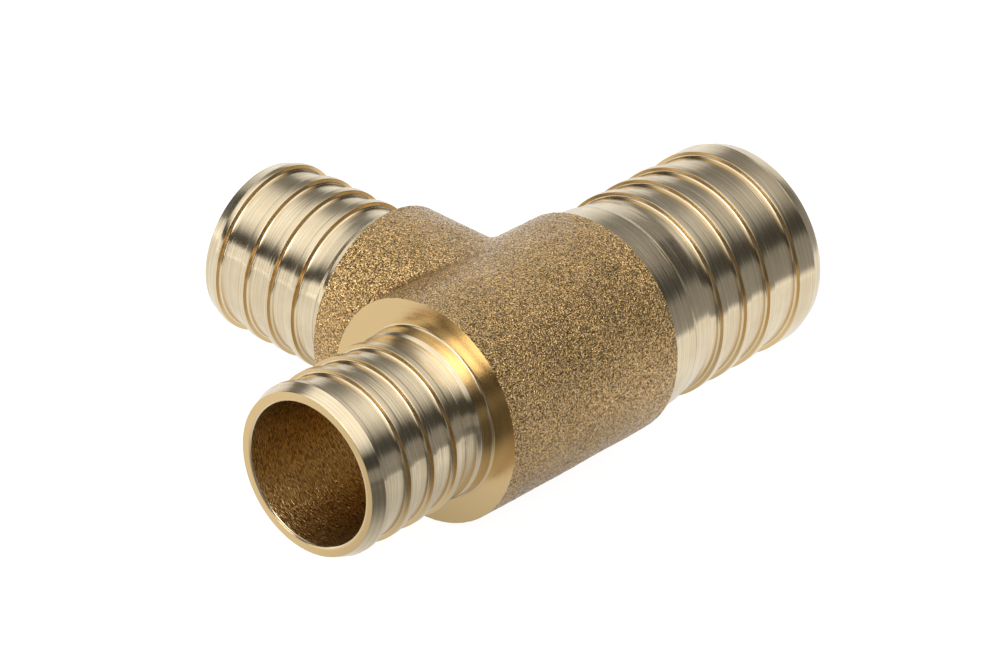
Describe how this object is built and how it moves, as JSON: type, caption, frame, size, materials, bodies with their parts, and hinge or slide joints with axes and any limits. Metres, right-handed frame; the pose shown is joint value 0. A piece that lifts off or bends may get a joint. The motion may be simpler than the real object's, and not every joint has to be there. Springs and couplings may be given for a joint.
{
  "type": "reducing tee pipe fitting",
  "caption": "Cast brass tee for plastic pipe with ribbed insert spigots on run and branch, the far run end a size larger, for crimped or clamped joints.",
  "frame": {"origin": "where the run axis crosses the branch axis, inside the body", "axes": "+X along the run towards the large spigot, +Y along the branch towards its tip, +Z square to both"},
  "size_m": [0.0788, 0.0551, 0.0288],
  "materials": {
    "cast_brass": "as-cast sand texture, lightly blasted",
    "machined_brass": "fine turned, bright"
  },
  "bodies": {
    "root": {"cast_body": "cast_brass", "small_run_spigot": "machined_brass", "large_run_spigot": "machined_brass", "branch_spigot": "machined_brass"}
  },
  "joints": []
}
